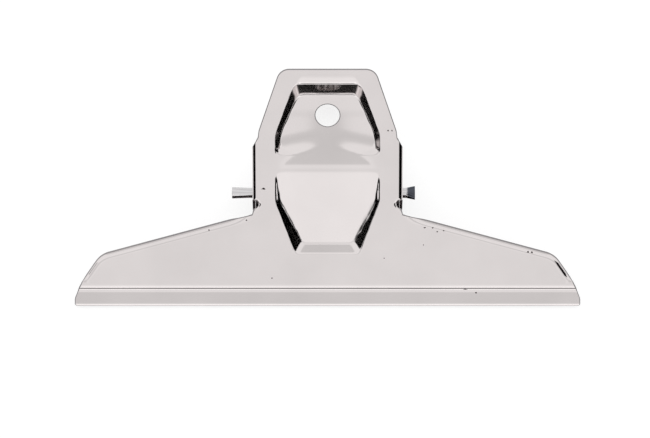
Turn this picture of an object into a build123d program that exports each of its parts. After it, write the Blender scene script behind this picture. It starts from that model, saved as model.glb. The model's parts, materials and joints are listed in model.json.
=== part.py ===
from build123d import *
import os
from math import acos, atan2, cos, dist, hypot, pi, radians, sin, sqrt, tan

# A wide bulldog clip lies on its back: two sprung plates on one hinge pin.
# The jaw points towards -Y and the handles towards +Y.
# Lengths are millimetres. On a plate, "up" runs from the jaw to the handle, and zero is level with the pin.

# Sheet and jaw
JAW_WIDTH = 145.0  # along the gripping edge
SHEET = 0.8  # thickness of the steel
JAW_GAP = 0.06  # between the two lips when the jaw is shut
LIP_HEIGHT = 4.3  # flat gripping band
LIP_TAPER = 0.9  # how far each end of the band leans in at its top
LIP_CORNER = 0.8  # rounding of the band's lower corners
LIP_ROLL = 0.3  # rolled edge along the band's foot
JOGGLE = 0.6  # step outwards from the band to the plate
JOGGLE_RISE = 1.2  # height that the step takes
JOGGLE_BEND = 0.9  # bend radius at the middle of the sheet
SPLAY = 14.0  # lean of each plate from the middle of the clip, in degrees
PIN_HEIGHT = 32.6  # gripping edge to the pin's axis

# Handle
HANDLE_REACH = 37.9  # pin level to the handle's top edge
HANDLE_TOP_WIDTH = 26.8  # at the sharp corners, before they are rounded
HANDLE_CORNER = 3.6  # rounding of those corners
WAIST_UP = 19.9  # where the slanting sides turn upright
WAIST_IN = 1.9  # handle's side there, in from the ear's face
SHOULDER_UP = 18.2  # where the handle starts to widen into the ears
SHOULDER_IN = 1.65  # handle's side there, in from the ear's face

# Ears round the pin
EAR_SPAN = 42.8  # over the front plate's ears
EAR_TOP = 15.6  # upper end of the ear's bend
EAR_FOOT = 0.2  # lower end of the ear's bend
EAR_RADIUS = 5.3  # lobe round the pin
EAR_BEND = 1.5  # outer bend radius
EAR_PLAY = 0.1  # between a front ear and the rear ear inside it
NOTCH_RADIUS = 1.75  # relief below each bend
NOTCH_DEPTH = 2.5  # how far the relief goes in from the ear's face

# Wings
WING_ROOT_DOWN = 3.95  # wing's top edge at the ears
WING_TIP_DOWN = 15.95  # wing's top edge at its far corner
WING_TIP_IN = 7.3  # that corner, in from the end of the jaw
WING_HEEL_DOWN = 24.1  # lower end of the wing's rim
WING_HEEL_IN = 2.2  # that end, in from the end of the jaw
WING_CORNER = 7.0  # rounding of the far corner
RIM_BEND = 1.4  # outer bend radius of the rim
RIM_DEPTH = 1.5  # how far the rim is bent back
RIM_RUNOUT = 4.0  # length in which the rim fades out at the neck
STRIP_LAP = 2.0  # flat strip above the rim's heel, where wings and lip meet

# Thumb recess: two sloping floors that meet at a ridge
RECESS_TOP_UP = 33.7
RECESS_TOP_WIDTH = 18.8
RECESS_TOP_DEPTH = 4.0
RECESS_TOP_SLOPE = 45.0  # lean of the top wall from square to the plate, in degrees
RECESS_SIDE_UP = 19.0  # upper end of the upright sides
RECESS_SIDE_DOWN = 1.05  # lower end of the upright sides
RECESS_WIDTH = 29.6
RECESS_SIDE_SLOPE = 28.0
RECESS_FOOT_DOWN = 16.05
RECESS_FOOT_WIDTH = 18.3
RECESS_FOOT_DEPTH = 3.0
RECESS_FOOT_SLOPE = 48.0
RIDGE_UP = 10.95
RIDGE_DROP = 0.15  # ridge below the plate's face, before it is rounded
RIDGE_ROUND = 12.0
DOME_UP = 13.5  # swelling between the ridge and the hang hole
DOME_DROP = 0.35
DOME_RADIUS = 15.0

# Hang hole through both plates
HOLE_DIAMETER = 6.9
HOLE_HEIGHT = 54.6  # gripping edge to its axis

# Hinge pin
PIN_DIAMETER = 3.0
PIN_FIT = 0.05  # radial clearance in the ears
PIN_NECK = 1.2  # round length outside the ears
PIN_LEFT_END = 6.0  # beyond the front plate's left ear
PIN_RIGHT_END = 3.7
PIN_LEFT_WIDTH = 3.4  # flattened tip
PIN_LEFT_THICK = 2.6
PIN_LEFT_TURN = 15.0  # turn of the tip about the pin, in degrees
PIN_RIGHT_WIDTH = 4.0
PIN_RIGHT_THICK = 1.2
PIN_RIGHT_TURN = -8.0
PIN_EDGE = 0.12

# Torsion spring
WIRE = 1.8
COIL_FIT = 0.4  # between the pin and the coil
COIL_SPACE = 0.65  # between neighbouring turns
COIL_TURNS = 7  # whole turns, besides the part turn between the legs
SEAT_FIT = 0.15  # between a foot and the ridge that it bears on
FOOT_LENGTH = 6.5
FOOT_BEND = 2.4
GAP_POINTS = 700  # along the wire, to measure its gap to itself

# Worked out from the sizes above
LEAN = radians(SPLAY)
LIP_FACE = JAW_GAP / 2 + SHEET
STEP_TOP = LIP_HEIGHT + JOGGLE_RISE
FACE_OUT = cos(LEAN) * (LIP_FACE + JOGGLE) + sin(LEAN) * (PIN_HEIGHT - STEP_TOP)
EAR_HALF = EAR_SPAN / 2
REAR_EAR_HALF = EAR_HALF - SHEET - EAR_PLAY
COIL_RADIUS = PIN_DIAMETER / 2 + COIL_FIT + WIRE / 2
BEYOND = 2 * RIM_DEPTH  # spare length for cuts that pass right through

# Floors of the recess: where each meets its end wall, and how steeply they fall away from the ridge
FLOOR_TOP_UP = RECESS_TOP_UP - RECESS_TOP_DEPTH * tan(radians(RECESS_TOP_SLOPE))
FLOOR_FOOT_UP = RECESS_FOOT_DEPTH * tan(radians(RECESS_FOOT_SLOPE)) - RECESS_FOOT_DOWN
UPPER_FALL = atan2(RECESS_TOP_DEPTH - RIDGE_DROP, FLOOR_TOP_UP - RIDGE_UP)
LOWER_FALL = atan2(RECESS_FOOT_DEPTH - RIDGE_DROP, RIDGE_UP - FLOOR_FOOT_UP)
RIDGE_SAG = (RIDGE_ROUND - SHEET) * (1 / cos((UPPER_FALL + LOWER_FALL) / 2) - 1)
RIDGE_BACK_OUT = FACE_OUT - SHEET - RIDGE_DROP - RIDGE_SAG


def from_plate(up, out):
    """A point up and out from the pin on a plate, as (along, out) on the middle plane."""
    return (up * cos(LEAN) - out * sin(LEAN), up * sin(LEAN) + out * cos(LEAN))


def plate_up(along, out):
    """How far up the plate a point of the middle plane lies."""
    return along * cos(LEAN) + out * sin(LEAN)


# The clip rests on the rear lip's foot and the rear handle's tip, with its middle over the origin.
TIP_ALONG, TIP_OUT = from_plate(HANDLE_REACH, FACE_OUT)
LIE = atan2(TIP_OUT - LIP_FACE, PIN_HEIGHT + TIP_ALONG)
JAW_Y = PIN_HEIGHT * cos(LIE) + LIP_FACE * sin(LIE)
TIP_Y = TIP_ALONG * cos(LIE) + TIP_OUT * sin(LIE)
HINGE = (0, (JAW_Y - TIP_Y) / 2, PIN_HEIGHT * sin(LIE) + LIP_FACE * cos(LIE))

# Middle plane of the clip, seen from the front and from behind, with its origin on the pin's axis
FRONT_MIDDLE = Plane(HINGE, x_dir=(1, 0, 0), z_dir=(0, -sin(LIE), cos(LIE)))
REAR_MIDDLE = Plane(HINGE, x_dir=(-1, 0, 0), z_dir=(0, sin(LIE), -cos(LIE)))


def plate_face(middle):
    """Outer face of the plate on this side: x along the jaw, y up to the handle, z outwards."""
    outward = middle.z_dir * cos(LEAN) - middle.y_dir * sin(LEAN)
    return Plane(middle.origin + outward * FACE_OUT, x_dir=middle.x_dir, z_dir=outward)


def plate_edge_on(middle):
    """Plane square to the pin: x up the plate, y out from the pin's axis."""
    return Plane(middle.origin, x_dir=plate_face(middle).y_dir, z_dir=middle.x_dir)


def wing_outline(below):
    """Both wings, with top edges that run on to meet in the middle and ends that run on below the heel."""
    tip = (JAW_WIDTH / 2 - WING_TIP_IN, -WING_TIP_DOWN)
    fall = (WING_TIP_DOWN - WING_ROOT_DOWN) / (tip[0] - EAR_HALF)
    spread = (WING_TIP_IN - WING_HEEL_IN) / (WING_HEEL_DOWN - WING_TIP_DOWN)
    heel = (JAW_WIDTH / 2 - WING_HEEL_IN + spread * below, -WING_HEEL_DOWN - below)
    peak = (0, EAR_HALF * fall - WING_ROOT_DOWN)
    with BuildSketch() as outline:
        with BuildLine():
            FilletPolyline(peak, tip, heel, (0, heel[1]), radius=(WING_CORNER, 0))
            mirror(about=Plane.YZ)
        make_face()
    return outline.sketch


def wings(face):
    """Flat wings with their edges bent back, but for the neck between the ears."""
    outwards = Axis(face.origin, face.z_dir)
    with BuildPart() as hollow:
        with BuildSketch(face.offset(-SHEET)):
            add(wing_outline(BEYOND))
            offset(amount=-SHEET, kind=Kind.INTERSECTION)
        extrude(amount=-BEYOND)
        fillet(hollow.faces().sort_by(outwards)[-1].edges(), RIM_BEND - SHEET)
    with BuildPart() as tray:
        with BuildSketch(face):
            add(wing_outline(0))
        extrude(amount=-RIM_DEPTH)
        rim = tray.faces().sort_by(outwards)[-1].edges().filter_by(Axis.X, reverse=True)
        fillet(rim, RIM_BEND)
        add(hollow.part, mode=Mode.SUBTRACT)
        with BuildSketch(face.offset(-SHEET)):
            Rectangle(EAR_SPAN, 2 * WING_TIP_DOWN)
        extrude(amount=-BEYOND, mode=Mode.SUBTRACT)
    return tray.part


def lip(middle, face):
    """Gripping band, the step above it and a strip of the plate, right across the jaw."""
    mid_sheet = LIP_FACE - SHEET / 2
    band_foot = (-PIN_HEIGHT, mid_sheet)
    band_top = (LIP_HEIGHT - PIN_HEIGHT, mid_sheet)
    strip_up = STRIP_LAP - WING_HEEL_DOWN
    step_up = plate_up(STEP_TOP - PIN_HEIGHT, LIP_FACE + JOGGLE)
    step_top = from_plate(step_up, FACE_OUT - SHEET / 2)
    strip_top = from_plate(strip_up, FACE_OUT - SHEET / 2)
    jaw_half = JAW_WIDTH / 2
    heel = jaw_half - WING_HEEL_IN
    spread = (WING_TIP_IN - WING_HEEL_IN) / (WING_HEEL_DOWN - WING_TIP_DOWN)
    with BuildPart() as band:
        with BuildSketch(Plane(middle.origin, x_dir=middle.y_dir, z_dir=middle.x_dir)):
            with BuildLine():
                FilletPolyline(band_foot, band_top, step_top, strip_top, radius=JOGGLE_BEND)
            trace(line_width=SHEET)
        extrude(amount=jaw_half + BEYOND, both=True)
        with BuildSketch(face):
            with BuildLine():
                Polyline(
                    (0, strip_up),
                    (heel - RIM_BEND - spread * STRIP_LAP, strip_up),
                    (heel - RIM_BEND, -WING_HEEL_DOWN),
                    (heel, -WING_HEEL_DOWN),
                    (jaw_half - LIP_TAPER, plate_up(LIP_HEIGHT - PIN_HEIGHT, LIP_FACE)),
                    (jaw_half, plate_up(LIP_HEIGHT / 2 - PIN_HEIGHT, LIP_FACE)),
                    (jaw_half, -PIN_HEIGHT - BEYOND),
                    (0, -PIN_HEIGHT - BEYOND),
                )
                mirror(about=Plane.YZ)
            make_face()
        extrude(amount=FACE_OUT, both=True, mode=Mode.INTERSECT)
        foot = band.faces().sort_by(Axis(middle.origin, middle.y_dir))[0]
        fillet(foot.edges().filter_by(Axis(middle.origin, middle.z_dir)), LIP_CORNER)
        foot = band.faces().sort_by(Axis(middle.origin, middle.y_dir))[0]
        roll = foot.edges().filter_by(Axis.X).sort_by(Axis(middle.origin, middle.z_dir))[-1]
        fillet(roll, LIP_ROLL)
    return band.part


def handle(face, ear_half):
    """Flat handle and neck, with the ears' bends left out and a relief notch below each bend."""
    neck_down = WING_ROOT_DOWN + RIM_RUNOUT
    flat_half = ear_half - EAR_BEND
    notch_across = ear_half + NOTCH_RADIUS
    notch_up = EAR_FOOT - NOTCH_RADIUS
    with BuildPart() as panel:
        with BuildSketch(face):
            with BuildLine():
                FilletPolyline(
                    (0, HANDLE_REACH),
                    (HANDLE_TOP_WIDTH / 2, HANDLE_REACH),
                    (ear_half - WAIST_IN, WAIST_UP),
                    (ear_half - SHOULDER_IN, SHOULDER_UP),
                    (flat_half, SHOULDER_UP),
                    (flat_half, EAR_FOOT),
                    (ear_half, EAR_FOOT),
                    (ear_half, -WING_ROOT_DOWN),
                    (ear_half - RIM_RUNOUT, -neck_down),
                    (0, -neck_down),
                    radius=(HANDLE_CORNER, 0, 0, 0, 0, 0, 0, 0),
                )
                mirror(about=Plane.YZ)
            make_face()
            with Locations((notch_across, notch_up), (-notch_across, notch_up)):
                SlotCenterToCenter(2 * NOTCH_DEPTH, 2 * NOTCH_RADIUS, mode=Mode.SUBTRACT)
        extrude(amount=-SHEET)
    return panel.part


def ears(middle, face, ear_half):
    """Channel across the handle whose flanges are the two ears, trimmed to their outline round the pin."""
    wall = ear_half - SHEET / 2
    deep = -FACE_OUT - EAR_RADIUS
    bend_out = FACE_OUT - EAR_BEND
    across = Plane(face.origin + face.y_dir * SHOULDER_UP, x_dir=face.x_dir, z_dir=-face.y_dir)
    shoulder = (
        (ear_half - SHOULDER_IN, SHOULDER_UP),
        (ear_half, EAR_TOP),
        (ear_half, SHOULDER_UP),
    )
    with BuildPart() as channel:
        with BuildSketch(across):
            with BuildLine():
                FilletPolyline(
                    (-wall, deep),
                    (-wall, -SHEET / 2),
                    (wall, -SHEET / 2),
                    (wall, deep),
                    radius=EAR_BEND - SHEET / 2,
                )
            trace(line_width=SHEET)
        extrude(amount=SHOULDER_UP + EAR_RADIUS)
        with BuildSketch(plate_edge_on(middle)):
            with BuildLine():
                CenterArc((0, 0), EAR_RADIUS, 0, 360)
                Line((EAR_FOOT, bend_out), (EAR_TOP, bend_out))
            make_hull()
            with Locations((EAR_FOOT, bend_out)):
                Rectangle(SHOULDER_UP - EAR_FOOT, EAR_BEND, align=Align.MIN)
            Circle(PIN_DIAMETER / 2 + PIN_FIT, mode=Mode.SUBTRACT)
        extrude(amount=ear_half, both=True, mode=Mode.INTERSECT)
        with BuildSketch(face):
            with BuildLine():
                Polyline(shoulder, close=True)
            make_face()
            mirror(about=Plane.YZ)
        extrude(amount=-EAR_BEND, mode=Mode.SUBTRACT)
    return channel.part


def recess_corners(depth, grow):
    """Right-hand corners of the recess at a depth below the plate, from the top down."""
    def inset(slope):
        return depth * tan(radians(slope)) - grow / cos(radians(slope))

    def end_corners(end_up, end_half, side_up, end_slope):
        """Corner at the end and corner at the side, with every wall moved in by its own inset."""
        side_in = inset(RECESS_SIDE_SLOPE)
        inward = 1 if end_up < side_up else -1
        lean = (RECESS_WIDTH / 2 - end_half) / abs(end_up - side_up)
        slant = hypot(1, lean)
        new_end = end_up + inward * inset(end_slope)
        new_half = RECESS_WIDTH / 2 - lean * abs(new_end - side_up) - side_in * slant
        new_side = side_up + inward * side_in * (slant - 1) / lean
        return (new_half, new_end), (RECESS_WIDTH / 2 - side_in, new_side)

    top_half = RECESS_TOP_WIDTH / 2
    foot_half = RECESS_FOOT_WIDTH / 2
    top, upper = end_corners(RECESS_TOP_UP, top_half, RECESS_SIDE_UP, RECESS_TOP_SLOPE)
    foot, lower = end_corners(-RECESS_FOOT_DOWN, foot_half, -RECESS_SIDE_DOWN, RECESS_FOOT_SLOPE)
    return top, upper, lower, foot


def recess(middle, face, lift, grow):
    """Hollow of the recess from above the plate to its floors or, grown by a sheet, the bulge behind it."""
    edge_on = plate_edge_on(middle)
    full = max(RECESS_TOP_DEPTH, RECESS_FOOT_DEPTH) + grow
    ridge = (RIDGE_UP, FACE_OUT - RIDGE_DROP - grow)
    reach_up = RECESS_TOP_UP + BEYOND
    reach_down = -RECESS_FOOT_DOWN - BEYOND
    sky = FACE_OUT + lift + BEYOND
    dome = edge_on.from_local_coords((DOME_UP, FACE_OUT - DOME_DROP - DOME_RADIUS, 0))
    with BuildPart() as form:
        for depth in (-lift, full):
            with BuildSketch(face.offset(-depth)):
                with BuildLine():
                    corners = recess_corners(depth, grow)
                    Polyline((0, corners[0][1]), *corners, (0, corners[-1][1]))
                    mirror(about=Plane.YZ)
                make_face()
        loft(ruled=True)
        with BuildSketch(edge_on):
            with BuildLine():
                FilletPolyline(
                    (reach_up, sky),
                    (reach_up, ridge[1] - tan(UPPER_FALL) * (reach_up - RIDGE_UP)),
                    ridge,
                    (reach_down, ridge[1] - tan(LOWER_FALL) * (RIDGE_UP - reach_down)),
                    (reach_down, sky),
                    radius=(0, RIDGE_ROUND - grow, 0),
                )
                Line((reach_up, sky), (reach_down, sky))
            make_face()
        extrude(amount=RECESS_WIDTH, both=True, mode=Mode.INTERSECT)
        with Locations(dome):
            Sphere(DOME_RADIUS - grow, mode=Mode.SUBTRACT)
    return form.part


def pressing(middle, ear_half):
    """One half of the clip, pressed from a single sheet."""
    face = plate_face(middle)
    with BuildPart() as plate:
        add(wings(face))
        add(lip(middle, face))
        add(handle(face, ear_half))
        add(ears(middle, face, ear_half))
        add(recess(middle, face, -SHEET / 2, SHEET))
        add(recess(middle, face, SHEET, 0), mode=Mode.SUBTRACT)
        with BuildSketch(middle):
            with Locations((0, HOLE_HEIGHT - PIN_HEIGHT)):
                Circle(HOLE_DIAMETER / 2)
        extrude(amount=TIP_OUT, mode=Mode.SUBTRACT)
    return plate.part


with BuildPart() as front_plate:
    add(pressing(FRONT_MIDDLE, EAR_HALF))
front_plate.part.label = "front_plate"

with BuildPart() as rear_plate:
    add(pressing(REAR_MIDDLE, REAR_EAR_HALF))
rear_plate.part.label = "rear_plate"


def across_pin(x):
    """Plane square to the pin at a distance along the jaw."""
    return Plane((x, HINGE[1], HINGE[2]), x_dir=FRONT_MIDDLE.y_dir, z_dir=(1, 0, 0))


with BuildPart() as hinge_pin:
    round_half = EAR_HALF + PIN_NECK
    with BuildSketch(across_pin(0)):
        Circle(PIN_DIAMETER / 2)
    extrude(amount=round_half, both=True)
    for side, end, width, thick, turn in (
        (-1, PIN_LEFT_END, PIN_LEFT_WIDTH, PIN_LEFT_THICK, PIN_LEFT_TURN),
        (1, PIN_RIGHT_END, PIN_RIGHT_WIDTH, PIN_RIGHT_THICK, PIN_RIGHT_TURN),
    ):
        with BuildSketch(across_pin(side * round_half)):
            Circle(PIN_DIAMETER / 2)
        with BuildSketch(across_pin(side * (EAR_HALF + end))):
            Ellipse(width / 2, thick / 2, rotation=turn)
        loft()
    tips = hinge_pin.faces().filter_by(Axis.X).sort_by(Axis.X)
    fillet(tips[0].edges() + tips[-1].edges(), PIN_EDGE)
hinge_pin.part.label = "hinge_pin"


def heading(across, along, out):
    """A direction in the middle plane's axes."""
    return FRONT_MIDDLE.x_dir * across + FRONT_MIDDLE.y_dir * along + FRONT_MIDDLE.z_dir * out


def place(across, along, out):
    """A point in the middle plane's axes, from the pin's axis."""
    return FRONT_MIDDLE.origin + heading(across, along, out)


def biarc(start, start_dir, end, end_dir):
    """Two arcs that leave the start and reach the end in the given directions."""
    span = end - start
    both = start_dir + end_dir
    turn = 2 * (1 - start_dir.dot(end_dir))
    reach = (sqrt(span.dot(both) ** 2 + turn * span.dot(span)) - span.dot(both)) / turn
    joint = (start + end + (start_dir - end_dir) * reach) * 0.5
    TangentArc(start, joint, tangent=start_dir)
    TangentArc(joint, end, tangent=(span - both * reach).normalized())


def least_gap(wire):
    """Least space between stretches of a wire that are more than half a turn of the coil apart."""
    points = [tuple(wire @ (i / GAP_POINTS)) for i in range(GAP_POINTS + 1)]
    apart = int(pi * COIL_RADIUS / wire.length * GAP_POINTS) + 1
    pairs = ((i, j) for i in range(len(points)) for j in range(i + apart, len(points)))
    return min(dist(points[i], points[j]) for i, j in pairs) - WIRE


# The legs leave the coil towards the handles and end in feet that bear on the backs of the two ridges.
seat_along, seat_out = from_plate(RIDGE_UP, RIDGE_BACK_OUT - SEAT_FIT - WIRE / 2)
leg_angle = atan2(seat_out, seat_along) + acos(COIL_RADIUS / hypot(seat_along, seat_out))
coil_angle = 2 * pi * (COIL_TURNS + 1) - 2 * leg_angle
coil_pitch = WIRE + COIL_SPACE
coil_half = coil_pitch * coil_angle / (4 * pi)
quarters = round(coil_angle / (pi / 2))

with BuildPart() as torsion_spring:
    with BuildLine() as route:
        knots = []
        for i in range(quarters + 1):
            angle = leg_angle + coil_angle * i / quarters
            climb = coil_pitch / (2 * pi * COIL_RADIUS) if 0 < i < quarters else 0
            point = place(
                coil_half * (2 * i / quarters - 1),
                COIL_RADIUS * cos(angle),
                COIL_RADIUS * sin(angle),
            )
            knots.append((point, heading(climb, -sin(angle), cos(angle)).normalized()))
        FilletPolyline(
            place(FOOT_LENGTH - coil_half, seat_along, seat_out),
            place(-coil_half, seat_along, seat_out),
            knots[0][0],
            radius=FOOT_BEND,
        )
        for knot, following in zip(knots, knots[1:]):
            biarc(*knot, *following)
        FilletPolyline(
            knots[-1][0],
            place(coil_half, seat_along, -seat_out),
            place(coil_half - FOOT_LENGTH, seat_along, -seat_out),
            radius=FOOT_BEND,
        )
    with BuildSketch(Plane(route.wire() @ 0, z_dir=route.wire() % 0)):
        Circle(WIRE / 2)
    sweep()
    spare = least_gap(route.wire())
    print(f"spring wire: {route.wire().length:.1f} mm long, least gap to itself {spare:.2f} mm")
torsion_spring.part.label = "torsion_spring"

os.makedirs("parts", exist_ok=True)
for piece in (front_plate, rear_plate, hinge_pin, torsion_spring):
    export_step(piece.part, f"parts/{piece.part.label}.step")
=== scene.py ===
import json
from math import acos, atan2, cos, hypot, pi, radians, sin, sqrt, tan

import bpy
import numpy as np
from mathutils import Matrix, Vector
from mathutils.geometry import delaunay_2d_cdt


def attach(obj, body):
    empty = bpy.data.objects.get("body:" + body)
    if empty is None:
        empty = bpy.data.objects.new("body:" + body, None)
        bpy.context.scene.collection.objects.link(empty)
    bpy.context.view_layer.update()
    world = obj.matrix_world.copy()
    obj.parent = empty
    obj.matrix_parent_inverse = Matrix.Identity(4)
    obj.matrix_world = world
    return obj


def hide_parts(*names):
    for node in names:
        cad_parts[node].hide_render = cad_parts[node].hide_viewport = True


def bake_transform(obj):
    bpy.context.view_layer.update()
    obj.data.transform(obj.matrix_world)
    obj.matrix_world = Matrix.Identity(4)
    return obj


# A bulldog clip lies on its back. Each half is one formed sheet of nickel-plated steel.
# Sizes are millimetres on a plate: x along the jaw, u up from the pin's level, h out of the plate's face.

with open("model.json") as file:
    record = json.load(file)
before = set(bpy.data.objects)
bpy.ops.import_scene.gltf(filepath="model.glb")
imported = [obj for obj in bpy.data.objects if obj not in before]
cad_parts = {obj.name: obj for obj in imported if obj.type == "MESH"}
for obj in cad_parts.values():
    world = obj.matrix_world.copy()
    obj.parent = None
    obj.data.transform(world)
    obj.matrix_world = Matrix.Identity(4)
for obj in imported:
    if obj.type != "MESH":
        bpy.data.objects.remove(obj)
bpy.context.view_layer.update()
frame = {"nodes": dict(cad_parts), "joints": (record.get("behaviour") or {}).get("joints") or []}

MM = 0.001
HINGE = np.array(frame["joints"][0]["pos_m"]) / MM

# Sheet, jaw and lean
SHEET = 0.8
EDGE_ROUND = 0.22  # drawn-in edge that the stamping leaves
THIN = 0.004  # least inset of the outline where its edge is turned back, as a part of the bend's radius
NEARLY = 0.999  # part of that radius that the edge may reach, so that its slope stays finite
JAW_HALF = 72.5
PIN_HEIGHT = 32.6
LIP_FACE = 0.83
LIP_HEIGHT = 4.62
LIP_TAPER = 0.9
LIP_CORNER = 0.8
LIP_END_CORNER = 2.0  # half-way up the lip's end
LIP_TOP_CORNER = 0.6
LIP_BEVEL = 0.72  # bevel along the lip's foot
LIP_BEVEL_SLOPE = 0.46
LIP_BEVEL_SOFT = LIP_BEVEL / 5
LIP_THINNING = 1.2  # loss of thickness by depth of bevel, which keeps the lips' inner faces apart
STEP_HEIGHT = 5.75
STEP_FACE = 1.49
STEP_SOFT = 0.55  # rounding of the step's two bends
LEAN = radians(14.0)
FACE_OUT = cos(LEAN) * STEP_FACE + sin(LEAN) * (PIN_HEIGHT - STEP_HEIGHT)

# Handle and ears
HANDLE_REACH = 37.9  # tip of the solid handle, on which the clip lies
HANDLE_TOP = 37.65  # top edge as it is drawn here
HANDLE_TOP_HALF = 13.4
HANDLE_CORNER = 3.6
EAR_HALF = 21.4
REAR_EAR_HALF = 20.5
WAIST_UP = 19.9
WAIST_IN = 1.9
WAIST_CORNER = 1.2
SHOULDER_UP = 17.9
SHOULDER_IN = 1.65
SHOULDER_CORNER = 0.15
EAR_TOP = 15.2
SHOULDER_SLOPE = (SHOULDER_UP - EAR_TOP) / SHOULDER_IN
EAR_RADIUS = 5.3
EAR_BEND = 1.5
EAR_TURN = radians(43)  # the ear turns back in a wide arc up to this angle and in a tight one after it
EAR_HEEL = SHEET
EAR_ROLL = (EAR_BEND - EAR_HEEL * (1 - sin(EAR_TURN))) / sin(EAR_TURN)
EAR_BACK = EAR_ROLL * (1 - cos(EAR_TURN)) + EAR_HEEL * cos(EAR_TURN)
EAR_LENGTH = EAR_ROLL * EAR_TURN + EAR_HEEL * (pi / 2 - EAR_TURN)
PIN_HOLE = 1.55

# Notch under each ear, whose edge is turned back from an end to where it is so in full
NOTCH_UP = -1.55
NOTCH_IN = 0.75
NOTCH_RADIUS = 1.05
NOTCH_BEND = 0.85
NOTCH_END_DOWN = 1.9  # below the notch's middle
NOTCH_FULL_DOWN = 0.6
NOTCH_END_IN = 0.5  # in from the ear's face
NOTCH_FULL_IN = 1.2

# Wings
WING_ROOT = np.array((EAR_HALF, -4.45))
WING_TIP = np.array((65.0, -16.45))
WING_HEEL = np.array((70.3, -24.1))
WING_CORNER = 7.0
RIM_BEND = 1.9
RIM_START = EAR_HALF
RIM_RUNOUT = 7.0
RIM_FOOT = WING_HEEL[1] - 0.3  # the rim ends here, and is whole from RIM_FULL up
RIM_FULL = WING_HEEL[1] + 1.5
RIM_WORN_AND_SHADED = RIM_BEND * (1 - sin(radians(60)))  # width of the strip along its edge that is painted dark: a painted dark reflection, on plating also taken as thin there

# Thumb recess: its outline and the slope of its walls, as an angle from the plate
RECESS_TOP = (9.4, 33.7)
RECESS_UPPER = (14.8, 19.0)
RECESS_LOWER = (14.8, -1.05)
RECESS_FOOT = (9.15, -16.05)
SLANT_SOFT = 0.5  # between its slanting sides, and from them to the upright ones
UPRIGHT_SOFT = 0.6
TOP_UP = 33.6
TOP_WALL = radians(47)
TOP_LEAD = 1.5  # gentle fall of the sheet before the top wall
TOP_LEAD_SLOPE = 0.2
SIDE_WALL = radians(62)
LOWER_WALL = radians(44)
FOOT_WALL = radians(46)
WOBBLE = 0.02  # unevenness of the pressed walls

# Depths over which the recess's walls run into one another, roll over at the edge and meet the floors
RECESS_CORNER = 3.0
LOWER_CORNER = 1.2
RECESS_ROLL = 0.25
FOOT_ROLL = 0.5
FOOT_ROLL_RISE = 6.0  # height over the foot where the one roll has become the other
FLOOR_SOFT = 0.7
FOOT_SOFT = 0.25
FOOT_SOFT_LOW = 4.0  # heights over the foot between which the one softness becomes the other
FOOT_SOFT_HIGH = 10.0
FLOOR_BLEND = 0.4  # softness where a floor is shallow, as a part of its depth
LEAST_SOFT = 0.02
CREASE = 0.12

# Floors of the recess, and the ridge between them
UPPER_UP = 29.7
UPPER_DEPTH = 4.4
UPPER_FALL = 0.15
POCKET_UP = 19.5  # from here down the upper floor curves up to the ridge
POCKET_SOFT = 0.5
POCKET_CURVE = 0.0257
POCKET_SPREAD = 0.2  # fall of that level towards the side walls
RIDGE_UP = 9.0
RIDGE_SOFT = 0.55
RIDGE_EASE = 0.9  # how nearly the side walls vanish beside the ridge
EASE_LOW = 8.0  # which they do most between these heights, and less over a length beyond them
EASE_HIGH = 12.6
EASE_LENGTH = 4.0
DOME_FALL = 0.235
LOWER_FALL = 0.12
TONGUE_WIDTH = 4.2  # of the ridge's tongue up to the hang hole

# Hang hole
HOLE_UP = 23.7
HOLE_ACROSS = 3.45
HOLE_ALONG = 3.05
REAR_HOLE_UP = 24.3
REAR_HOLE_MORE = 0.3

# Spring
WIRE = 1.8
COIL_RADIUS = 2.8
COIL_PITCH = 2.45
COIL_TURNS = 7
SEAT_ALONG = 9.22
SEAT_OUT = 8.1  # clear of the ridge as it is formed here
FOOT_LENGTH = 6.5
FOOT_BEND = 2.4

# Spacing of points along outlines and wires
ARC_STEP = radians(9)
OUTLINE_STEP = 1.5
LIP_STEP = 0.35
LIP_SKIP = 6  # one point in so many is kept along the lip's foot
FLANGE_STEP = 1.2
WIRE_STEP = 0.8
COIL_STEP = radians(12)

# Numbers of points or steps
CORNER_STEPS = 12
EAR_ROWS = 22
BEND_ROWS = 10
NOTCH_ROWS = 16
NOTCH_LINE_ROWS = 12
LOBE_ROWS = 30
FLANGE_ROWS = 12
LIP_ROWS = 60
FOOT_ROWS = 9
WALL_SIDES = 240
HOLE_SIDES = 56
PIN_HOLE_SIDES = 32
CHIP_SIDES = 9
WIRE_SIDES = 20

# Where lines are drawn on the sheet: angles of bent edges, in degrees, and depths of the recess's walls
RIM_ANGLES = (0, 10, 20, 30, 45, 60, 72, 81)
NOTCH_ANGLES = (20, 40, 58, 74)
STAMPED_ANGLES = (22.5, 45, 67.5, 90)
WALL_DEPTHS = (-0.55, -0.4, -0.25, -0.1, 0.05, 0.2, 0.3, 0.4, 0.55, 0.9, 1.5, 2.2, 2.9, 3.6, 4.3, 5.0)
WALL_REACH = 30.0  # from the ridge's middle to beyond every wall
WALL_HALVINGS = 24

# Distances that lines and points on a sheet keep from what is there already
OFF_EDGE = 0.03
OFF_HEEL = 0.2
OFF_BEND = 0.08
OFF_WING = 0.4  # in radians, at the end of the lines round a notch
OFF_LIP_END = 0.15
OFF_FOOT = 0.1
OFF_HOLE = 0.25
OFF_CHIP = 0.2
OFF_WALL = 0.3  # inside the recess
OFF_RECESS = 0.5  # outside it
OFF_RIM = 0.5
OFF_OUTLINE = 0.7
OFF_NOTCH = 0.1
OFF_EAR_TOP = 0.3

# Grids of points on a plate: lower left corner, upper right corner and spacing
RECESS_GRID = ((-16.5, -18), (16.5, 35.5), 0.8)
MIDDLE_GRID = ((-18, -24.5), (18, 37), 1.5)
WING_GRID = ((-72, -24.5), (72, 37), 3.0)

# Materials of a plate, in order; the last is a painted dark reflection along edges, on plating taken as worn
PLATED, CHIPPED, WORN_AND_SHADED = range(3)

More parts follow.
